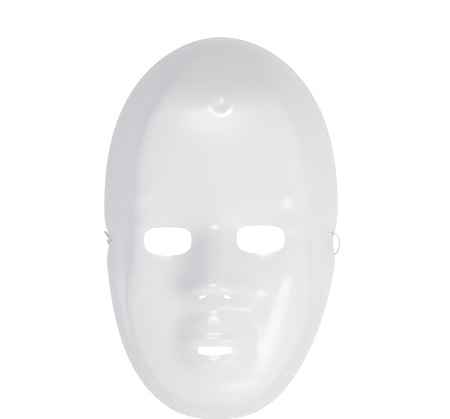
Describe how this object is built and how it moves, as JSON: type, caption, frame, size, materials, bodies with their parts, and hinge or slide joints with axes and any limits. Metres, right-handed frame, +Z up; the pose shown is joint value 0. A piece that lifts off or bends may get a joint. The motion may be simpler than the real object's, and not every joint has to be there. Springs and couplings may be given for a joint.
{
  "type": "full-face mask",
  "caption": "Plain full-face costume mask: a glossy formed plastic shell with eye, nostril and mouth openings, worn on a round elastic cord.",
  "frame": {"origin": "middle of the wearer's face in the plane of the trimmed rim, level with the eyes", "axes": "+Z up as worn, +Y backwards towards the wearer, so the mask faces -Y, and +X to the right of someone who looks at its front"},
  "size_m": [0.1579, 0.0808, 0.255],
  "materials": {
    "shell_plastic": "glossy",
    "elastic": "braided"
  },
  "bodies": {
    "mask": {"mask_shell": "shell_plastic", "right_loop": "elastic", "left_loop": "elastic", "right_knot": "elastic", "left_knot": "elastic"},
    "strap": {"elastic_cord": "elastic"}
  },
  "joints": [
    {"name": "strap_swing", "type": "hinge", "parent": "mask", "child": "strap", "pos_m": [0, 0.0036, -0.01], "axis": [1, 0, 0], "range_deg": [0, 180]}
  ]
}
